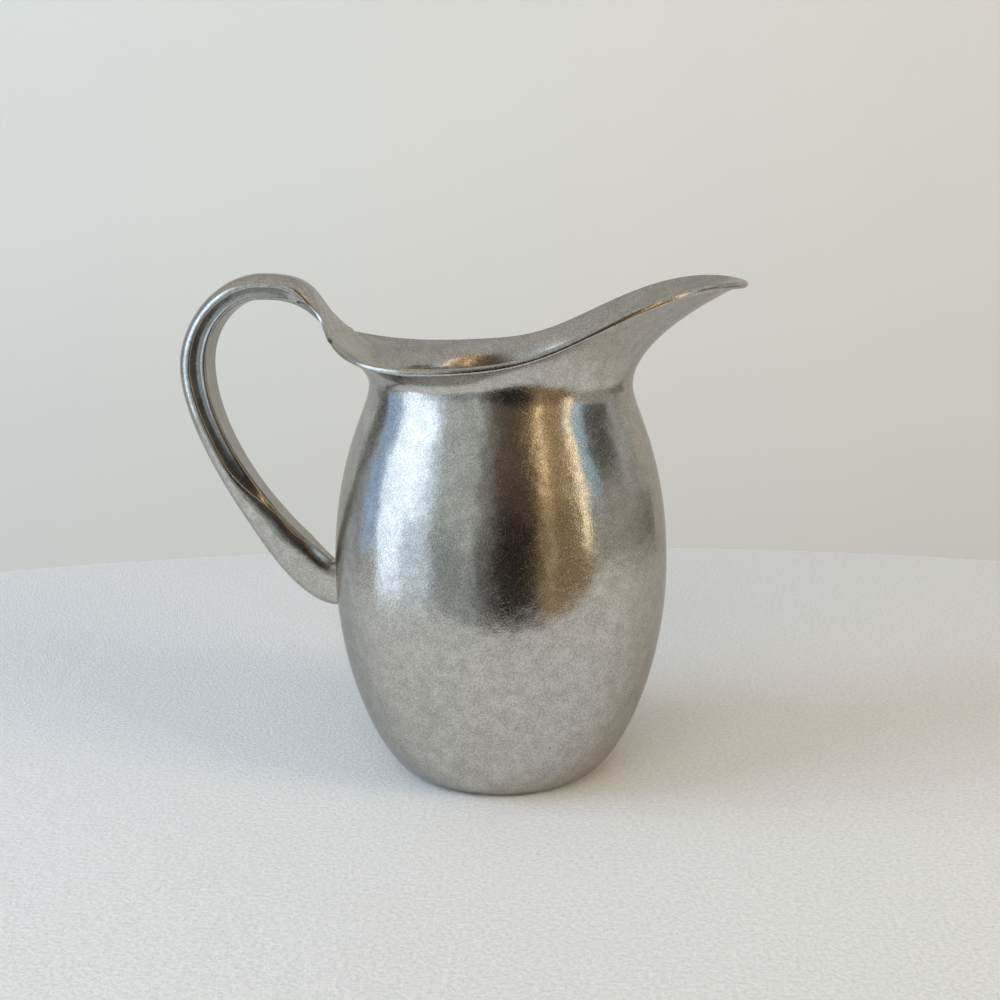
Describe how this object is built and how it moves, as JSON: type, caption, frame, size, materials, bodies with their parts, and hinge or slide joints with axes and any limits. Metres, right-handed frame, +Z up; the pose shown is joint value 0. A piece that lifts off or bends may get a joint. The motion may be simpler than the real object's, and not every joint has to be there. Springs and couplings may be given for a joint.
{
  "type": "stainless steel creamer",
  "caption": "Bell-shaped stainless steel creamer with a drawn pouring spout, rolled lip and a hollow looped handle welded to the lip and belly",
  "frame": {"origin": "centre of the flat base, on the vessel's axis, at the resting plane", "axes": "+X to the spout, -X to the handle, +Z up, +Y to the left when looking along +X"},
  "size_m": [0.1689, 0.1008, 0.152],
  "materials": {
    "body_steel": "satin",
    "handle_steel": "satin",
    "liner_steel": "satin",
    "weld_steel": "ground weld"
  },
  "bodies": {
    "root": {"body_shell": "body_steel", "handle_back": "handle_steel", "handle_liner": "liner_steel", "handle_top_weld": "weld_steel", "handle_foot_weld": "weld_steel"}
  },
  "joints": []
}
